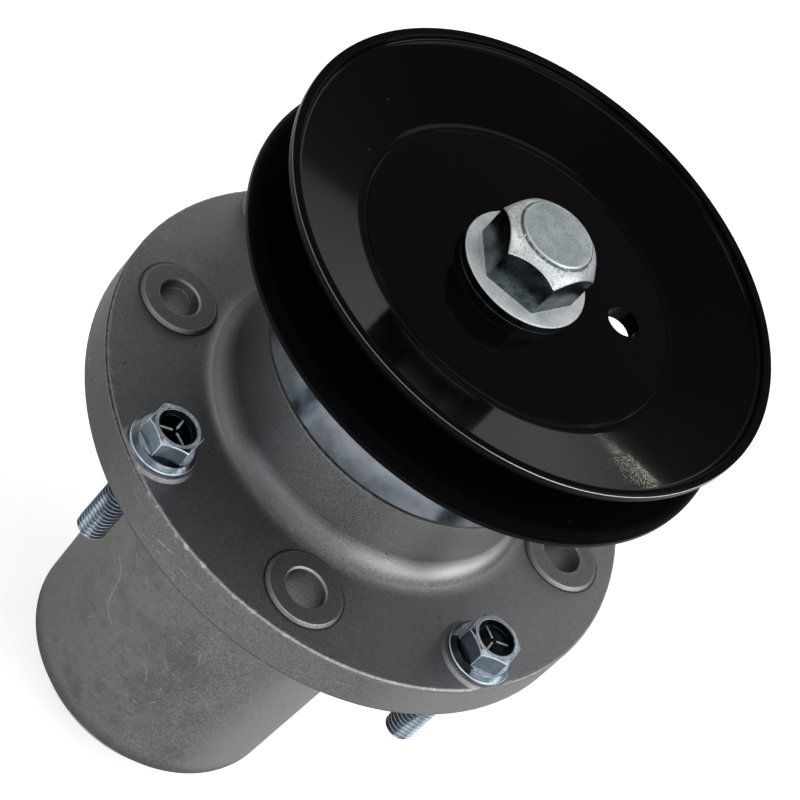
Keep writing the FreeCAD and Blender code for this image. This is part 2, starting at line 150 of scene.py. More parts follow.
class Finish(Nodes):
    """A material on the object's own coordinates."""

    def __init__(self, name):
        self.material = bpy.data.materials.new(name)
        self.material.use_nodes = True
        super().__init__(self.material.node_tree)
        self.place = self.node("ShaderNodeTexCoord", out="Object")

    def axes(self, place):
        """The three parts of a place."""
        return [self.node("ShaderNodeSeparateXYZ", {}, {0: place}, out=part) for part in range(3)]

    def noise(self, size, detail=3.0, roughness=0.55):
        """Cloudy noise from 0 to 1 with features of one size, in metres."""
        return self.node("ShaderNodeTexNoise", {}, {
            "Vector": self.place, "Scale": 1 / size, "Detail": detail, "Roughness": roughness,
        })

    def layered(self, colour, layers):
        """A colour with other colours laid over it in turn, each by its share from 0 to 1."""
        for over, share in layers:
            colour = self.node("ShaderNodeMix", {"data_type": "RGBA"}, {
                0: share, 6: colour, 7: over,
            }, out=2)
        return colour

    def strewn(self, place, spacing, dimensions, out):
        """One output for the nearest of many points that are strewn about so far apart."""
        return self.node("ShaderNodeTexVoronoi", {
            "feature": "F1", "voronoi_dimensions": dimensions,
        }, {"Vector": place, "Scale": 1 / spacing, "Randomness": 1.0}, out=out)

    def chances(self, place, spacing, dimensions):
        """Three chances from 0 to 1 for each of those points."""
        pick = self.strewn(place, spacing, dimensions, "Color")
        return [self.node("ShaderNodeSeparateColor", {}, {0: pick}, out=part) for part in range(3)]

    def specks(self, spacing, radius, share):
        """Round specks, strewn about so far apart; only a share of them is there."""
        distance = self.strewn(self.place, spacing, "3D", "Distance")
        chance, _, _ = self.chances(self.place, spacing, "3D")
        cells = radius / spacing
        return self.fall(distance, cells * 0.5, cells) * self.maths("LESS_THAN", chance, share)

    def scratches(self, u, v, spacing, length, width, share):
        """Short straight scratches at all angles on a flat or rolled-out surface."""
        flat = self.node("ShaderNodeCombineXYZ", {}, {0: u, 1: v})
        middle = self.strewn(flat, spacing, "2D", "Position")
        chance, turn, _ = self.chances(flat, spacing, "2D")
        off_u, off_v, _ = self.axes(self.node("ShaderNodeVectorMath", {"operation": "SUBTRACT"}, {
            0: flat, 1: middle,
        }))
        cos = self.maths("COSINE", turn * math.tau)
        sin = self.maths("SINE", turn * math.tau)
        thin = self.fall(abs(off_v * cos - off_u * sin), width * 0.35, width)
        short = self.fall(abs(off_u * cos + off_v * sin), length * 0.25, length * 0.5)
        return thin * short * self.maths("LESS_THAN", chance, share)

    def bump(self, height, depth):
        """Normal of a surface whose height, from 0 to 1, is so many metres deep."""
        return self.node("ShaderNodeBump", {}, {
            "Strength": 1.0, "Distance": depth, "Height": height,
        })

    def surface(self, inputs):
        """The finished material with these inputs of its shader."""
        self.shown(self.node("ShaderNodeBsdfPrincipled", {}, inputs))
        return self.material


paper_radius = 6.0
paper_glow = 0.65
floor_gap = 0.02 * mm
floor_mesh = bpy.data.meshes.new("floor")
shape = bmesh.new()
bmesh.ops.create_circle(shape, cap_ends=True, segments=96, radius=paper_radius)
bmesh.ops.translate(shape, verts=shape.verts, vec=(0, 0, cad_box[0][2] - floor_gap))
shape.to_mesh(floor_mesh)
shape.free()
floor = bpy.data.objects.new("floor", floor_mesh)
bpy.context.scene.collection.objects.link(floor)
paper = Finish("pale_paper")
seen = paper.node("ShaderNodeLightPath", {}, {}, out="Is Camera Ray")
matt = paper.node("ShaderNodeBsdfDiffuse", {}, {"Color": (0.8, 0.8, 0.8, 1)})
glow = paper.node("ShaderNodeEmission", {}, {
    "Color": (1, 1, 1, 1), "Strength": seen * paper_glow,
})
paper.shown(paper.node("ShaderNodeAddShader", {}, {0: matt, 1: glow}))
floor_mesh.materials.append(paper.material)


# Light: a plain studio, with soft boxes hung round the spindle for its plate and paint to
# mirror. A small warm lamp low down on the far side glints in the pulley's paint.
world = bpy.data.worlds.new("studio")
world.use_nodes = True
bpy.context.scene.world = world
sky = Nodes(world.node_tree)
looking = sky.node("ShaderNodeTexCoord", out="Generated")
upward = sky.node("ShaderNodeSeparateXYZ", {}, {0: looking}, out="Z")
height = sky.maths("ARCSINE", upward)
box_edge = math.radians(1.5)


def level_part(turn):
    """How far a look goes along this level way."""
    return sky.node("ShaderNodeVectorMath", {"operation": "DOT_PRODUCT"}, {
        0: looking, 1: (math.cos(turn), math.sin(turn), 0),
    }, out="Value")


def soft_box(azimuth, width, low, high, strength):
    """Brightness of a soft box that hangs between two heights, all in degrees."""
    turn = math.radians(azimuth)
    half = math.radians(width / 2)
    bottom = math.radians(low)
    top = math.radians(high)
    off = abs(sky.maths("ARCTAN2", level_part(turn + math.pi / 2), level_part(turn)))
    inside = sky.fall(off, half - box_edge, half + box_edge)
    inside = inside * sky.rise(height, bottom - box_edge, bottom + box_edge)
    return inside * sky.fall(height, top - box_edge, top + box_edge) * strength


# Azimuth of the middle, width, lower edge, upper edge and strength of each box.
soft_boxes = (
    (120, 150, -6, 8, 4.0),
    (152, 96, 21, 40, 1.2),
    (165, 60, 21, 40, 1.4),
    (251, 66, -6, 17.5, 0.78),
    (300, 90, 8, 21, 0.35),
    (157, 90, 40, 60, 0.5),
    (241, 15, 40, 68, 1.25),
    (120, 120, 60, 95, 1.8),
    (5, 40, 38, 60, 1.6),
    (60, 90, 21, 40, 0.45),
)
light_all_round = 0.25
light = light_all_round
for box in soft_boxes:
    light = light + soft_box(*box)
studio = sky.node("ShaderNodeBackground", {}, {"Color": (1, 1, 1, 1), "Strength": light})
sky.shown(studio, "ShaderNodeOutputWorld")

glint_azimuth = 268.15
glint_height = 18.95
glint = bpy.data.lights.new("glint", "SUN")
glint.energy = 0.009
glint.angle = math.radians(0.7)
glint.color = (1.0, 0.95, 0.8)
glint_lamp = bpy.data.objects.new("glint", glint)
bpy.context.scene.collection.objects.link(glint_lamp)
glint_lamp.rotation_euler = (math.radians(90 - glint_height), 0, math.radians(glint_azimuth + 90))


# Spindle housing: one aluminium casting, left as it came from the die apart from its bores.
# Its skin is sandy and stained, and it is scuffed where it was knocked about.
flange_radius = 74.25 * mm
flange_top = 12.7 * mm
pad_top = 13.7 * mm
hub_top = 34.9 * mm
barrel_radius = 40 * mm
fillet_place = 43.2 * mm
free_hole_place = 58.8 * mm
free_hole_radius = 5.45 * mm
free_pad_radius = 10.7 * mm
bolt_place = 65.5 * mm / math.sqrt(2)
bolt_flange_radius = 8.85 * mm
casting = Finish("cast_aluminium")
x, y, z = casting.axes(casting.place)
radius = casting.span(x, y)


def dress(material, *names):
    """Gives the frame's own pieces a material."""
    for name in names:
        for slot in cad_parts[name].material_slots:
            slot.material = material


def grey(level):
    """An even grey."""
    return (level, level, level, 1)


def facing(azimuth, across_x, across_y, out):
    """From -1 to 1, how far a place round the shaft faces this way, in degrees."""
    turn = math.radians(azimuth)
    return (across_x * math.cos(turn) + across_y * math.sin(turn)) / out


def toward(azimuth, low, high):
    """0 to 1 for the side of the casting that faces this way, in degrees."""
    return casting.rise(facing(azimuth, x, y, radius), low, high)


def line(way, place, width):
    """1 on a line at this reading, and 0 beside it."""
    return casting.fall(abs(way - place), width * 0.5, width)


# The casting's parts: all that is below the flange, the flange's edge band, the pads' faces,
# the hub's wall, and the flange's far left end.
below = casting.fall(z, -1.5 * mm, 0.5 * mm)
side = casting.fall(z, 10.8 * mm, 11.6 * mm)
top = 1 - side
band = side * (1 - below)
hub_wall = casting.rise(z, 14 * mm, 22 * mm)
pad_face = casting.rise(z, pad_top - 0.15 * mm, pad_top - 0.05 * mm) * (1 - hub_wall)
far_left = toward(5, 0.55, 0.85)

# The sandy skin: a little browner below, stained in broad clouds, and gritty on one side.
sand = casting.rise(casting.noise(0.45 * mm, 3.0, 0.75), 0.34, 0.66)
mottle = casting.noise(5 * mm, 4.0, 0.65)
stain = casting.rise(casting.noise(24 * mm, 4.0, 0.6), 0.5, 0.7)
blotch = casting.rise(casting.noise(11 * mm, 3.0, 0.6), 0.52, 0.72)
smudge = casting.noise(2.4 * mm, 4.0, 0.7)
grit = casting.rise(casting.noise(0.65 * mm, 3.0, 0.8), 0.36, 0.64)
gritty = 0.12 + 0.6 * toward(125, 0.2, 0.98) + 0.35 * below * (1 - toward(65, 0.8, 0.98))
upper_skin = casting.layered((0.18, 0.181, 0.193, 1), [((0.275, 0.276, 0.292, 1), sand)])
lower_skin = casting.layered((0.21, 0.209, 0.203, 1), [((0.31, 0.309, 0.30, 1), sand)])
skin = casting.layered(upper_skin, (
    (lower_skin, below),
    ((0.10, 0.097, 0.09, 1), stain * (below * 0.5 + 0.1)),
    ((0.11, 0.107, 0.1, 1), blotch * (below * 0.45 + 0.08)),
    (grey(0.36), casting.rise(mottle, 0.5, 0.75) * 0.3),
    ((0.09, 0.09, 0.092, 1), (1 - grit) * gritty * 0.5),
    (grey(0.5), grit * gritty * 0.22),
    ((0.08, 0.08, 0.079, 1), casting.fall(smudge, 0.3, 0.5) * below * 0.22),
    ((0.46, 0.46, 0.455, 1), casting.rise(smudge, 0.52, 0.75) * below * 0.16),
))

# Painted highlight along the fillet round the hub's foot, brightest on two sides, with
# painted shade between them.
away = 1 - toward(135, 0, 0.6)
from_fillet = abs(radius - fillet_place - away * 2.2 * mm)
fillet = casting.fall(from_fillet, 0.3 * mm, 2.1 * mm + away * 0.8 * mm)
fillet = fillet * (1 - below) * casting.fall(z, 18.5 * mm, 20.5 * mm)
fillet_highlight_sides = 0.05 + 0.25 * toward(25, 0.75, 0.95) + 0.9 * toward(165, 0.25, 1.1)
skin = casting.layered(skin, (
    ((0.85, 0.85, 0.86, 1), fillet * fillet_highlight_sides),
    ((0.08, 0.08, 0.085, 1), fillet * toward(72, 0.85, 0.98) * 0.4),
))

# Painted light and shade: the flange's top and the hub paler on their lit sides, the hub's
# wall and the edge band darker on the far left, the band paler on one side and darker on
# another, and the barrel paler on its lit sides.
painted_light_top = casting.maths("MAXIMUM", casting.fall(y, -60 * mm, 0) * 0.5,
                         toward(150, 0.5, 0.95) * (0.4 + hub_wall * 0.25))
painted_light_barrel = casting.maths("MAXIMUM", toward(15, 0.6, 0.97) * 0.22,
                            toward(150, 0.75, 0.98) * 0.75)
skin = casting.layered(skin, (
    ((0.38, 0.38, 0.385, 1), painted_light_top * top * (1 - pad_face)),
    (grey(0.08), toward(10, 0.7, 0.97) * hub_wall * 0.55),
    ((0.12, 0.12, 0.118, 1), far_left * band * 0.45),
    ((0.42, 0.42, 0.41, 1), toward(135, 0.88, 1) * band * 0.6),
    (grey(0.1), toward(28, 0.93, 1) * band * 0.35),
    ((0.44, 0.44, 0.43, 1), painted_light_barrel * below),
))

# Painted shade in the gap under the dust cup along the hub's upper rim, darker towards the
# barrel's foot, and dirt in the casting's pits.
rim_gap_shade = line(z, hub_top, 0.6 * mm) * casting.rise(radius, 41 * mm, 41.5 * mm)
foot_darkening = casting.fall(z, -103 * mm, -98 * mm)
pits = casting.specks(7 * mm, 0.45 * mm, 0.22)
skin = casting.layered(skin, (
    (grey(0.03), rim_gap_shade * 0.85),
    (grey(0.05), foot_darkening * 0.5),
    (grey(0.03), pits * 0.8),
))

# Round each pad: painted shade along its foot, a painted highlight on its upper edge, the
# bright edge of the drilled hole, and a faint ring where the flange of a bolt was turned down
# on it. The pads' faces are darker, and more so on the far left as painted shade.
near_x = abs(x)
near_y = abs(y)
out_x = casting.maths("MAXIMUM", near_x, near_y) - free_hole_place
out_y = casting.maths("MINIMUM", near_x, near_y)
free_way = casting.span(out_x, out_y)
bolt_way = casting.span(near_x - bolt_place, near_y - bolt_place)
pad_foot_shade = line(free_way, free_pad_radius + 0.15 * mm, 0.35 * mm) * top
skin = casting.layered(skin, (
    (grey(0.04), pad_foot_shade * 0.75),
    ((0.15, 0.15, 0.16, 1), pad_face * (0.3 + 0.3 * far_left)),
))
pad_edge_highlight = line(free_way, free_pad_radius - 0.75 * mm, 0.3 * mm) * 0.4
drilled = line(free_way, free_hole_radius + 0.2 * mm, 0.35 * mm) * 0.8
turned_down = line(bolt_way, bolt_flange_radius + 0.3 * mm, 0.9 * mm) * 0.1
pad_marks_and_highlight = casting.maths("MAXIMUM", pad_edge_highlight + drilled, turned_down)
pad_marks_and_highlight = pad_marks_and_highlight * casting.rise(z, pad_top - 0.9 * mm, pad_top - 0.6 * mm)

# Scuffs in clusters on the barrel and the edge band, and nicks in the band.
rolled_out = casting.maths("ARCTAN2", y, x) * barrel_radius
cluster = casting.rise(casting.noise(20 * mm, 2.0), 0.46, 0.62)
broken = casting.rise(casting.noise(0.8 * mm, 2.0), 0.4, 0.55)
long_scuffs = casting.scratches(rolled_out, z, 6 * mm, 6 * mm, 0.24 * mm, 0.4) * broken
fine_scuffs = casting.scratches(rolled_out, z, 2.6 * mm, 2.2 * mm, 0.16 * mm, 0.35) * 0.6
scuffs = casting.maths("MAXIMUM", long_scuffs, fine_scuffs) * side * (0.12 + 0.88 * cluster)
nicks = casting.specks(1.9 * mm, 0.3 * mm, 0.12) * band

# One long wavy scratch, slanting down the barrel from where it starts.
scratch_start_u = 24.5 * mm
scratch_start_z = -52.7 * mm
slant_cos = 0.765
slant_sin = 0.644
half_scratch = 10.3 * mm
wave_length = 20.7 * mm
wave_height = 2.6 * mm
from_start_u = rolled_out - scratch_start_u
from_start_z = z - scratch_start_z
along = from_start_u * slant_cos - from_start_z * slant_sin
aside = from_start_u * slant_sin + from_start_z * slant_cos
wave = casting.maths("SINE", along * (math.tau / wave_length)) * wave_height
long_scratch = line(aside + along * 0.08 - wave, 0, 0.26 * mm)
long_scratch = long_scratch * casting.fall(abs(along - half_scratch), 9 * mm, half_scratch)
scuffs = casting.maths("MAXIMUM", scuffs, long_scratch * (0.4 + 0.6 * broken) * side)

# The flange's edges: the upper one chipped and torn bright, dimmed on the far left as painted
# shade; just below it the parting line of the die, drawn wider and darker on the far left as
# painted shade; and painted shade along the lower one.
from_rim = radius - flange_radius
upper_edge = casting.span(from_rim, z - flange_top)
lower_edge = casting.span(from_rim, z)
chips = casting.rise(casting.noise(1.3 * mm, 4.0, 0.75), 0.44, 0.62)
torn = casting.rise(casting.noise(1.9 * mm, 4.0, 0.75), 0.53, 0.62)
torn = torn * (0.3 + 0.7 * toward(50, 0.7, 0.95))
worn = casting.fall(upper_edge, 0.35 * mm, 0.65 * mm) * (0.25 + 0.4 * chips)
worn = worn + casting.fall(upper_edge, 0.7 * mm, 1.8 * mm) * torn
parting_line_and_shade = line(z, flange_top - 0.55 * mm, 0.2 * mm + far_left * 0.35 * mm)
parting_line_and_shade = parting_line_and_shade * casting.rise(from_rim, -0.35 * mm, -0.15 * mm)
bright = casting.maths("MAXIMUM", scuffs + nicks * 0.6, worn * (1 - 0.6 * far_left))
bright = casting.maths("MAXIMUM", bright, pad_marks_and_highlight)
skin = casting.layered(skin, (
    (grey(0.015), parting_line_and_shade * (0.15 + 0.8 * far_left)),
    (grey(0.03), casting.fall(lower_edge, 0.5 * mm, 1 * mm) * 0.85),
    (grey(0.62), bright * 0.65),
))
relief = sand * 0.5 + mottle * 0.4 - pits * 0.6 - bright * 0.2
casting_metal = casting.surface({
    "Base Color": skin, "Metallic": 1.0, "Roughness": 0.4 - 0.05 * sand,
    "Normal": casting.bump(relief, 0.08 * mm),
})
dress(casting_metal, "spindle_housing")


# Deck bolts: four zinc-plated hexagon flange bolts with dished heads, cold formed, with three
# raised strength marks in the dish and a rolled thread below the flange.
merge_within = 0.0005 * mm


def darker(colour):
    """A colour at six tenths of its brightness."""
    return tuple(0.6 * part for part in colour[:3]) + (1,)


def zinc_plate(name, dark, light, roughness, grain=0.35 * mm, speckle=0.5, metallic=1.0,
               depth=0.02 * mm):
    """Zinc plate, a little blue, with soft clouds and a fine crystal grain."""
    zinc = Finish(name)
    cloud = zinc.noise(6 * mm, 3.0, 0.6)
    crystal = zinc.noise(grain, 3.0, 0.7)
    plate = zinc.layered(dark, (
        (light, zinc.rise(cloud, 0.35, 0.65)),
        (darker(dark), zinc.rise(crystal, 0.52, 0.64) * speckle),
    ))
    return zinc.surface({
        "Base Color": plate, "Metallic": metallic,
        "Roughness": roughness + 0.1 * cloud + 0.12 * crystal,
        "Normal": zinc.bump(crystal * 0.7 + cloud * 0.3, depth),
    })


def frame_copy(name):
    """Merged copy of one of the frame's own pieces, with its flat faces whole."""
    shape = bmesh.new()
    shape.from_mesh(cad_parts[name].data)
    bmesh.ops.remove_doubles(shape, verts=shape.verts, dist=merge_within)
    bmesh.ops.dissolve_limit(shape, angle_limit=math.radians(0.4), verts=shape.verts,
                             edges=shape.edges, delimit={"NORMAL"})
    return shape


def cut_level(shape, height, keep_above):
    """Cuts a shape through at one height, and gives the edges of the cut."""
    cut = bmesh.ops.bisect_plane(shape, geom=shape.verts[:] + shape.edges[:] + shape.faces[:],
                                 dist=1e-8, plane_co=(0, 0, height), plane_no=(0, 0, 1),
                                 clear_inner=keep_above, clear_outer=not keep_above)
    return [item for item in cut["geom_cut"] if isinstance(item, bmesh.types.BMEdge)]


def soften(shape, width, material=0):
    """Small even rounding on every sharp outer edge, which can show a material of its own."""
    least_fold = math.radians(28)
    sharp = [edge for edge in shape.edges if len(edge.link_faces) == 2 and edge.is_convex
             and edge.calc_face_angle() > least_fold]
    rounded = bmesh.ops.bevel(shape, geom=sharp, offset=width, offset_type="OFFSET",
                              affect="EDGES", segments=2, profile=0.5, material=-1,
                              clamp_overlap=False)
    for face in rounded["faces"]:
        face.material_index = material


def finished(shape, name, body, materials, instead_of=()):
    """Turns a shape into a piece that rides on a body, with the materials of its faces."""
    sharp_fold = math.radians(32)
    for face in shape.faces:
        face.smooth = True
    for edge in shape.edges:
        edge.smooth = len(edge.link_faces) == 2 and edge.calc_face_angle() < sharp_fold
    mesh = bpy.data.meshes.new(name)
    shape.to_mesh(mesh)
    shape.free()
    for material in materials:
        mesh.materials.append(material)
    piece = bpy.data.objects.new(name, mesh)
    bpy.context.scene.collection.objects.link(piece)
    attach(piece, body)
    if instead_of:
        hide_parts(*instead_of)
    return piece


def threaded_rod(major, minor, pitch, base, top):
    """Rod with a helical thread, closed at both ends: a zigzag line spun up the helix."""
    steps = 40
    zigzag = ((0.0, minor), (0.12, minor), (0.46, major), (0.58, major), (0.92, minor))
    start = base - 2 * pitch
    turns = int((top - start) / pitch) + 2
    shape = bmesh.new()
    points = [shape.verts.new((out, 0, start + (turn + share) * pitch))
              for turn in range(turns) for share, out in zigzag]
    for here, following in zip(points, points[1:]):
        shape.edges.new((here, following))
    bmesh.ops.spin(shape, geom=shape.verts[:] + shape.edges[:], cent=(0, 0, 0), axis=(0, 0, 1),
                   dvec=(0, 0, pitch / steps), angle=math.tau, steps=steps)
    bmesh.ops.remove_doubles(shape, verts=shape.verts, dist=merge_within)
    for height, keep_above in ((base, True), (top, False)):
        bmesh.ops.edgeloop_fill(shape, edges=cut_level(shape, height, keep_above))
    bmesh.ops.recalc_face_normals(shape, faces=shape.faces)
    return shape


def join(shape, other):
    """Adds a second shape to the first."""
    mesh = bpy.data.meshes.new("part")
    other.to_mesh(mesh)
    other.free()
    shape.from_mesh(mesh)
    bpy.data.meshes.remove(mesh)


# The plate comes in three copies: plain; a lighter one, as painted highlight on rounded edges,
# up-facing faces, thread crests and mark tops; and a near-black one, as painted shade in the dish
# and under one wrench face.
bolt_zinc = zinc_plate("bolt_zinc", (0.17, 0.215, 0.26, 1), (0.28, 0.34, 0.40, 1), 0.08)
highlight_zinc = zinc_plate("highlight_zinc", (0.45, 0.52, 0.58, 1), (0.82, 0.89, 0.94, 1), 0.25,
                       grain=0.6 * mm, speckle=0.9, metallic=0.5)
shaded_zinc = zinc_plate("shaded_zinc", (0.008, 0.011, 0.014, 1), (0.035, 0.045, 0.056, 1), 0.1)
plain, painted_highlight, painted_shade = range(3)    # which of these a face shows
faces_up = 0.95
leans_up = 0.4
shade_spread = 0.8
head_rounding = 0.22 * mm
head_bottom = 0.2 * mm
rod_top = 0.5 * mm
flange_crest = 17 * mm
dish_radius = 5.0 * mm
dish_floor = 20.6 * mm
top_ring = dish_floor + 1.5 * mm
thread_end = -24.4 * mm
thread_major = 3.97 * mm
thread_minor = 3.2 * mm
thread_pitch = 1.41 * mm
thread_crest = thread_major - 0.12 * mm
end_chamfer = 0.9 * mm
mark_size = (3.4 * mm, 0.55 * mm, 0.7 * mm)
mark_rounding = 0.15 * mm
mark_place = 2.4 * mm
mark_top = 0.2

# Side of the shaft along x and y, turn of the strength marks, and where the bolt's flange is
# darkened as painted shade under a wrench face: towards which way, and down to what height.
# Turns and ways are in degrees.
deck_bolts = (
    (1, 1, 21, 107, 16.4 * mm),
    (-1, 1, 77, 45, 15.0 * mm),
    (-1, -1, 10, 107, 16.4 * mm),
    (1, -1, 50, 45, 15.0 * mm),
)
for number, (side_x, side_y, mark_turn, shaded_way, shade_down_to) in enumerate(deck_bolts, 1):
    name = "deck_bolt_%d" % number
    centre_x = bolt_place * side_x
    centre_y = bolt_place * side_y
    head = frame_copy(name)
    cut_level(head, head_bottom, keep_above=True)
    soften(head, head_rounding, material=painted_highlight)
    for face in head.faces:
        middle = face.calc_center_median()
        off_x = middle.x - centre_x
        off_y = middle.y - centre_y
        if middle.z > top_ring and face.normal.z > faces_up:
            face.material_index = painted_highlight
        elif face.normal.z > leans_up and shade_down_to < middle.z < flange_crest:
            off_oily_way = math.atan2(off_y, off_x) - math.radians(shaded_way)
            if math.cos(off_oily_way) > shade_spread:
                face.material_index = painted_shade
            else:
                face.material_index = painted_highlight if face.normal.z > faces_up else plain
        elif middle.z > dish_floor - 0.2 * mm and math.hypot(off_x, off_y) < dish_radius:
            face.material_index = painted_shade
    rod = threaded_rod(thread_major, thread_minor, thread_pitch, thread_end, rod_top)
    for vert in rod.verts:
        limit = thread_major - end_chamfer + (vert.co.z - thread_end)
        reach = math.hypot(vert.co.x, vert.co.y)
        if reach > limit:
            vert.co.x *= limit / reach
            vert.co.y *= limit / reach
    for face in rod.faces:
        middle = face.calc_center_median()
        if math.hypot(middle.x, middle.y) > thread_crest:
            face.material_index = painted_highlight
    for third in range(3):
        mark = bmesh.new()
        bmesh.ops.create_cube(mark, size=1.0)
        bmesh.ops.scale(mark, verts=mark.verts, vec=mark_size)
        bmesh.ops.bevel(mark, geom=mark.edges, offset=mark_rounding, offset_type="OFFSET",
                        affect="EDGES", segments=2, profile=0.5, material=-1)
        for face in mark.faces:
            face.material_index = painted_highlight if face.normal.z > mark_top else plain
        bmesh.ops.translate(mark, verts=mark.verts, vec=(mark_place, 0, dish_floor))
        turn = math.radians(mark_turn + 120 * third)
        bmesh.ops.rotate(mark, verts=mark.verts, cent=(0, 0, 0),
                         matrix=Matrix.Rotation(turn, 3, "Z"))
        join(rod, mark)
    bmesh.ops.translate(rod, verts=rod.verts, vec=(centre_x, centre_y, 0))
    join(head, rod)
    finished(head, "bolt_%d_with_thread" % number, "housing",
             (bolt_zinc, highlight_zinc, shaded_zinc), (name,))


# Bearings: rings ground from bearing steel and polished balls between them, a moulded cage,
# and a rubber-faced seal pressed in at each side.
def ground_steel(name, colour, roughness, pitch):
    """Ground or turned steel: fine lines round the axis, and faint clouds of oil."""
    steel = Finish(name)
    across_x, across_y, up = steel.axes(steel.place)
    half_section = steel.node("ShaderNodeCombineXYZ", {}, {
        0: steel.span(across_x, across_y), 1: up,
    })
    lines = steel.node("ShaderNodeTexNoise", {"noise_dimensions": "2D"}, {
        "Vector": half_section, "Scale": 1 / pitch, "Detail": 2.0,
    })
    oil = steel.noise(5 * mm, 3.0)
    shade = steel.layered(colour, [(darker(colour), steel.rise(oil, 0.45, 0.8) * 0.6)])
    return steel.surface({
        "Base Color": shade, "Metallic": 1.0, "Roughness": roughness + 0.12 * lines + 0.1 * oil,
        "Normal": steel.bump(lines, 0.01 * mm),
    })


nylon = Finish("moulded_nylon")
flow = nylon.noise(3 * mm, 3.0)
cage_nylon = nylon.surface({
    "Base Color": nylon.layered((0.55, 0.48, 0.33, 1), [((0.42, 0.36, 0.24, 1), flow)]),
    "Roughness": 0.38 + 0.2 * flow,
    "Normal": nylon.bump(nylon.noise(0.3 * mm), 0.01 * mm),
})
ring_scale = 0.16 / mm
rubber = Finish("seal_rubber")
seal_x, seal_y, _ = rubber.axes(rubber.place)
rings = rubber.node("ShaderNodeTexWave", {"bands_direction": "X"}, {
    "Vector": rubber.node("ShaderNodeCombineXYZ", {}, {0: rubber.span(seal_x, seal_y)}),
    "Scale": ring_scale,
})
powder = rubber.noise(1.2 * mm, 4.0, 0.7)
seal_rubber = rubber.surface({
    "Base Color": rubber.layered((0.012, 0.012, 0.013, 1), [
        (grey(0.05), rubber.rise(powder, 0.5, 0.8)),
    ]),
    "Roughness": 0.55 + 0.2 * powder,
    "Normal": rubber.bump(rings * 0.8 + powder * 0.2, 0.08 * mm),
})
bearing_steel = ground_steel("ground_bearing_steel", (0.62, 0.61, 0.59, 1), 0.1, 0.12 * mm)
for bearing in ("upper_bearing_", "lower_bearing_"):
    dress(bearing_steel, bearing + "outer_ring", bearing + "inner_ring", bearing + "balls")
    dress(cage_nylon, bearing + "cage")
    dress(seal_rubber, bearing + "top_seal", bearing + "bottom_seal")


# Retaining rings: stamped from spring steel with an ear at each end, and blackened. They are
# squeezed together, and spring out into grooves in the housing's bearing seats.
spring = Finish("blackened_spring_steel")
patch = spring.noise(2.5 * mm, 4.0, 0.6)
blackened = spring.surface({
    "Base Color": spring.layered((0.018, 0.018, 0.02, 1), [
        ((0.07, 0.068, 0.065, 1), spring.rise(patch, 0.5, 0.75)),
    ]),
    "Metallic": 0.6, "Roughness": 0.35 + 0.25 * patch,
    "Normal": spring.bump(spring.noise(0.3 * mm), 0.015 * mm),
})
dress(blackened, "upper_retaining_ring", "lower_retaining_ring")


# Shaft, spacers and key: bright steel, turned from the bar, with the tool's lines round them.
# The spacers are clamped along the shaft between the bearings and the dust cups, and the
# key is pushed into its slot.
turned_steel = ground_steel("turned_steel", (0.46, 0.45, 0.43, 1), 0.22, 0.3 * mm)
dress(turned_steel, "spindle_shaft", "inner_spacer_tube", "upper_spacer", "lower_spacer",
      "pulley_key")


# Dust cups: pressed from zinc-plated sheet, turning with the shaft over the ends of the
# housing. Their skirt mirrors the bright surroundings in long soft streaks.
def turned(corners, steps=180, segments=5):
    """Solid of revolution from the corners (radius, height, rounding) of its section, in mm."""
    long_side = 2 * mm
    from_end = 0.1 * mm
    shape = bmesh.new()
    points = [shape.verts.new((out * mm, 0, up * mm)) for out, up, _ in corners]
    for here, following in zip(points, points[1:] + points[:1]):
        shape.edges.new((here, following))
    for here, (_, _, bend) in zip(points, corners):
        if bend == 0:
            continue
        sides = [(edge.other_vert(here).co - here.co).normalized() for edge in here.link_edges]
        reach = bend * mm / math.tan(sides[0].angle(sides[1]) / 2)
        bmesh.ops.bevel(shape, geom=[here], offset=reach, offset_type="OFFSET",
                        affect="VERTICES", segments=segments, profile=0.5, material=-1)
    # One more line close to either end of a long side keeps its shading flat.
    long_sides = [edge for edge in shape.edges if edge.calc_length() > long_side]
    for edge in long_sides:
        for end in edge.verts[:]:
            whole = max(end.link_edges, key=lambda joined: joined.calc_length())
            bmesh.utils.edge_split(whole, end, from_end / whole.calc_length())
    bmesh.ops.spin(shape, geom=shape.verts[:] + shape.edges[:], cent=(0, 0, 0), axis=(0, 0, 1),
                   angle=math.tau, steps=steps, use_merge=True)
    bmesh.ops.remove_doubles(shape, verts=shape.verts, dist=merge_within)
    bmesh.ops.recalc_face_normals(shape, faces=shape.faces)
    return shape


cup_zinc = zinc_plate("cup_zinc", (0.42, 0.48, 0.54, 1), (0.58, 0.65, 0.71, 1), 0.06,
                      grain=0.4 * mm, speckle=0.35)
bore = 12.5
cup_sheet = 1.5
cup_bend = 1.8
cup_edge = 0.3

# Name, the frame's piece that it stands for, outside radius, height of the closed end and of
# the open end, and the way in: -1 for down and 1 for up.
dust_cups = (
    ("upper_cup", "upper_dust_cup", 42.2, 49.6, 35.6, -1),
    ("lower_cup", "lower_dust_cup", 34.2, -110.5, -105.2, 1),
)
for name, node, cup_radius, closed_end, open_end, way_in in dust_cups:
    inside = cup_radius - cup_sheet
    closed_inside = closed_end + way_in * cup_sheet
    cup = turned([
        (bore, closed_inside, 0), (inside, closed_inside, cup_bend),
        (inside, open_end, cup_edge), (cup_radius, open_end, cup_edge),
        (cup_radius, closed_end, cup_bend + cup_sheet), (bore, closed_end, 0),
    ])
    finished(cup, name, "spindle", (cup_zinc,), (node,))


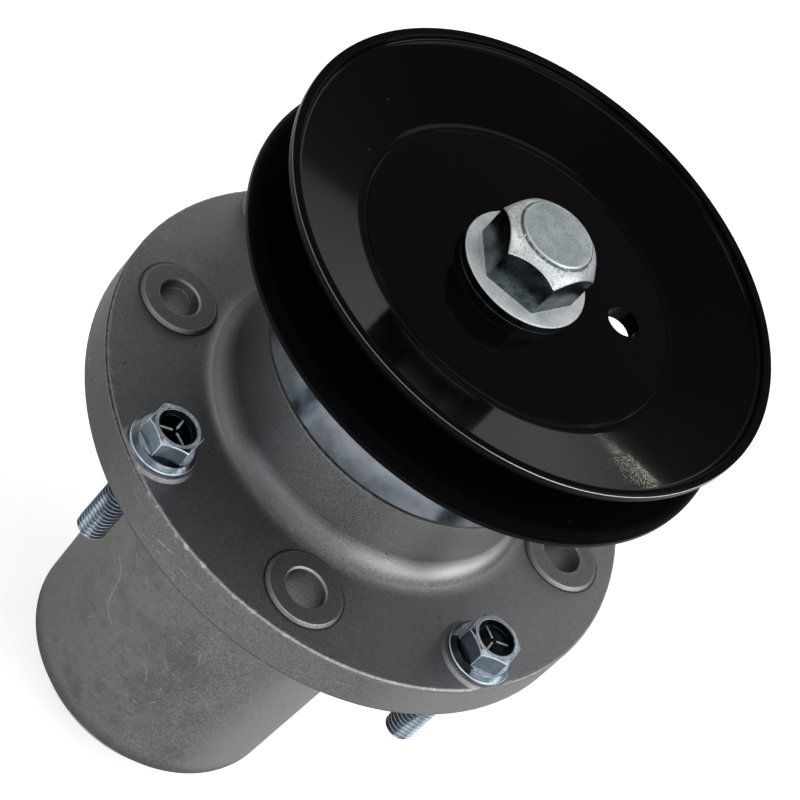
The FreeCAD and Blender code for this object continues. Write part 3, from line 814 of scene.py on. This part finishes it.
# Pulley: two pressed steel halves welded back to back on a turned hub, all painted gloss
# black. A hole is punched through the web, and a fine bead groove is pressed round its edge.
pulley_radius = 66.65
pulley_middle = 79.0
half_width = 11.2
sheet = 2.2
web_radius = 44.0
web_bend = 6.0
bead_radius = 42.1
bead_half_width = 0.4
bead_depth = 0.28
bead_bend = 0.3
lip_bend = 1.5
lip_inner_bend = 2.2
rim_corner = 0.2
rim_inner_corner = 0.3
flank_angle = math.radians(37 / 2)
slope = math.tan(flank_angle)
upright_sheet = sheet / math.cos(flank_angle)
lip_inner = pulley_radius - sheet
web_inner = web_radius - (upright_sheet - sheet) / slope
punch_radius = 4.4 * mm
punch_place = 29.5 * mm
punch_turn = math.radians(195.4)
rough_place = 57 * mm
leans_in = 0.1


def painted(name, shine, roughness):
    """Black paint with a little orange peel, dust, one rough patch and a pale rim line with a
    painted highlight.
    """
    paint = Finish(name)
    peel = paint.noise(1.6 * mm, 2.0)
    fine_peel = paint.noise(0.35 * mm, 1.0)
    dust = paint.specks(9 * mm, 0.25 * mm, 0.35)
    across_x, across_y, up = paint.axes(paint.place)
    out = paint.span(across_x, across_y)
    front = facing(130, across_x, across_y, out)
    from_rim = paint.span(out - pulley_radius * mm, up - (pulley_middle + half_width) * mm)
    # A pale line round the rim's outer corner, a third as bright all round and, as painted
    # highlight, full on the side that faces the front.
    thin = paint.fall(from_rim, 0.1 * mm, 0.2 * mm) * (0.3 + 0.7 * paint.rise(front, 0.75, 0.92))
    rough_patch = paint.rise(front, 0.985, 0.995)
    rough_patch = rough_patch * paint.fall(abs(out - rough_place), 4 * mm, 6 * mm)
    rough_patch = paint.noise(0.8 * mm, 1.0) * rough_patch
    coat = paint.layered((0.0015, 0.0015, 0.002, 1), (
        (grey(0.12), dust * 0.7),
        (grey(0.7), thin * 0.85),
    ))
    return paint.surface({
        "Base Color": coat, "Roughness": roughness + 0.04 * peel + 0.3 * dust, "IOR": 1.45,
        "Specular IOR Level": shine,
        "Normal": paint.bump(peel + fine_peel * 0.4 + rough_patch * 3.5, 0.006 * mm),
    })


def punch(shape, middle_x, middle_y, hole_radius):
    """Punches an upright round hole through a shape."""
    tool_length = 400 * mm
    mesh = bpy.data.meshes.new("sheet")
    shape.to_mesh(mesh)
    tool_mesh = bpy.data.meshes.new("punch")
    tool_shape = bmesh.new()
    bmesh.ops.create_cone(tool_shape, cap_ends=True, segments=64, radius1=hole_radius,
                          radius2=hole_radius, depth=tool_length)
    bmesh.ops.translate(tool_shape, verts=tool_shape.verts, vec=(middle_x, middle_y, 0))
    tool_shape.to_mesh(tool_mesh)
    tool_shape.free()
    blank = bpy.data.objects.new("sheet", mesh)
    tool = bpy.data.objects.new("punch", tool_mesh)
    for item in (blank, tool):
        bpy.context.scene.collection.objects.link(item)
    cut = blank.modifiers.new("cut", "BOOLEAN")
    cut.operation = "DIFFERENCE"
    cut.solver = "EXACT"
    cut.object = tool
    depsgraph = bpy.context.evaluated_depsgraph_get()
    done = bpy.data.meshes.new_from_object(blank.evaluated_get(depsgraph))
    shape.clear()
    shape.from_mesh(done)
    for item in (blank, tool):
        bpy.data.objects.remove(item)
    for item in (mesh, tool_mesh, done):
        bpy.data.meshes.remove(item)


black_paint = painted("gloss_black_paint", 0.09, 0.07)
groove_shade_paint = painted("groove_shade_black_paint", 0.012, 0.3)
dress(black_paint, "pulley_hub")
half_section = (
    (bore, 0, 0), (web_radius, 0, web_bend + sheet),
    (pulley_radius, (pulley_radius - web_radius) * slope, lip_bend + sheet),
    (pulley_radius, half_width, rim_corner), (lip_inner, half_width, rim_inner_corner),
    (lip_inner, (lip_inner - web_radius) * slope + upright_sheet, lip_inner_bend),
    (web_inner, sheet, web_bend), (bead_radius + bead_half_width, sheet, bead_bend),
    (bead_radius, sheet - bead_depth, bead_bend),
    (bead_radius - bead_half_width, sheet, bead_bend), (bore, sheet, 0),
)
for name, way in (("upper", 1), ("lower", -1)):
    half = turned([(out, pulley_middle + way * up, bend) for out, up, bend in half_section],
                  steps=240, segments=8)
    punch(half, punch_place * math.cos(punch_turn), punch_place * math.sin(punch_turn),
          punch_radius)
    half_piece = finished(half, "pulley_" + name, "spindle", (black_paint, groove_shade_paint),
                          ("pulley_%s_half" % name,))
    # The paint is duller and less shiny on the side towards the other half, where the belt runs,
    # as painted shade in the groove.
    for face in half_piece.data.polygons:
        if face.normal.z * way < -leans_in:
            face.material_index = 1


# Weld: a fillet laid all round the hub, under the pulley's web, and painted with it. Its face
# keeps the ripples of the torch's passes.
ripples_beyond = 20.1 * mm
ripples_below = 76.7 * mm
ripple_depth = 0.14 * mm
ripples_round = 88
ripple_slant = 900
weld = turned([
    (19.6, 73.4, 0), (20.9, 73.9, 0.8), (22.9, 75.6, 0.9), (23.4, 76.9, 0), (19.6, 76.9, 0),
], steps=360)
for vert in weld.verts:
    reach = math.hypot(vert.co.x, vert.co.y)
    if reach > ripples_beyond and vert.co.z < ripples_below:
        turn = math.atan2(vert.co.y, vert.co.x)
        ripple = ripple_depth * math.sin(ripples_round * turn + ripple_slant * reach)
        vert.co.x += vert.co.x / reach * ripple
        vert.co.y += vert.co.y / reach * ripple
        vert.co.z -= ripple
finished(weld, "hub_weld", "spindle", (black_paint,))


# Washer and pulley bolt: a thick zinc-plated washer under a large hexagon bolt with a raised
# crown, screwed into the shaft's end. Their plate is coarse and chalky, but smooth on the
# wrench faces and on the washer's side, and darkened there as painted shade.
crown_radius = 9.2 * mm
ledge_radius = 9.75 * mm
hexagon_rounding = 0.2 * mm
upright = 0.1
crown = Finish("crown_zinc")
head_x, head_y, _ = crown.axes(crown.place)
from_axis = crown.span(head_x, head_y)
cloud = crown.noise(5 * mm, 3.0, 0.6)
crystal = crown.noise(0.45 * mm, 3.0, 0.75)
# On the crown: painted light on the dome's left side, painted shade in the groove round the ledge,
# and a painted highlight on the crown's edge.
on_dome = crown.rise(from_axis, ledge_radius - 0.1 * mm, ledge_radius + 0.3 * mm)
painted_light_left = crown.rise(facing(20, head_x, head_y, from_axis), 0.4, 0.9)
coarse_specks = crown.rise(crown.noise(1.3 * mm, 3.0, 0.7), 0.56, 0.66)
fine_specks = crown.rise(crown.noise(0.3 * mm, 2.0, 0.8), 0.56, 0.62)
fine_specks = fine_specks * crown.rise(cloud, 0.4, 0.6)
groove = crown.fall(abs(from_axis - ledge_radius), 0.15 * mm, 0.45 * mm)
groove_shade = groove * crown.rise(crown.noise(1.2 * mm, 3.0, 0.7), 0.3, 0.5)
crown_edge_highlight = crown.fall(abs(from_axis - crown_radius), 0.1 * mm, 0.3 * mm)
crown_plate = crown.layered((0.50, 0.56, 0.59, 1), (
    ((0.68, 0.74, 0.77, 1), crown.rise(cloud, 0.35, 0.65)),
    ((0.66, 0.71, 0.74, 1), on_dome * 0.6),
    ((0.98, 0.99, 1.0, 1), on_dome * painted_light_left * 0.8),
    ((0.15, 0.18, 0.2, 1), crown.rise(crystal, 0.5, 0.62) * 0.5),
    ((0.12, 0.15, 0.17, 1), coarse_specks * on_dome * 0.6),
    ((0.06, 0.08, 0.09, 1), fine_specks * on_dome * 0.75),
    ((0.03, 0.035, 0.04, 1), groove_shade * 0.85),
    ((0.8, 0.84, 0.86, 1), crown_edge_highlight * 0.7),
))
crown_zinc = crown.surface({
    "Base Color": crown_plate, "Metallic": 0.75, "Roughness": 0.3 + 0.15 * crystal,
    "Normal": crown.bump(crystal * 0.7 + cloud * 0.3, 0.04 * mm),
})
washer_zinc = zinc_plate("washer_zinc", (0.74, 0.80, 0.84, 1), (0.95, 0.99, 1.0, 1), 0.35,
                         grain=0.6 * mm, speckle=0.45, metallic=0.5, depth=0.08 * mm)
smooth_shaded_zinc = zinc_plate("smooth_shaded_zinc", (0.03, 0.04, 0.045, 1), (0.15, 0.185, 0.2, 1), 0.2,
                         grain=0.4 * mm, speckle=0.9)
washer = finished(frame_copy("pulley_washer"), "washer", "spindle",
                  (washer_zinc, smooth_shaded_zinc), ("pulley_washer",))
bolt_shape = frame_copy("pulley_bolt")
soften(bolt_shape, hexagon_rounding)
large_bolt = finished(bolt_shape, "large_bolt", "spindle",
                      (crown_zinc, smooth_shaded_zinc), ("pulley_bolt",))
for piece in (washer, large_bolt):
    for face in piece.data.polygons:
        if abs(face.normal.z) < upright:
            face.material_index = 1
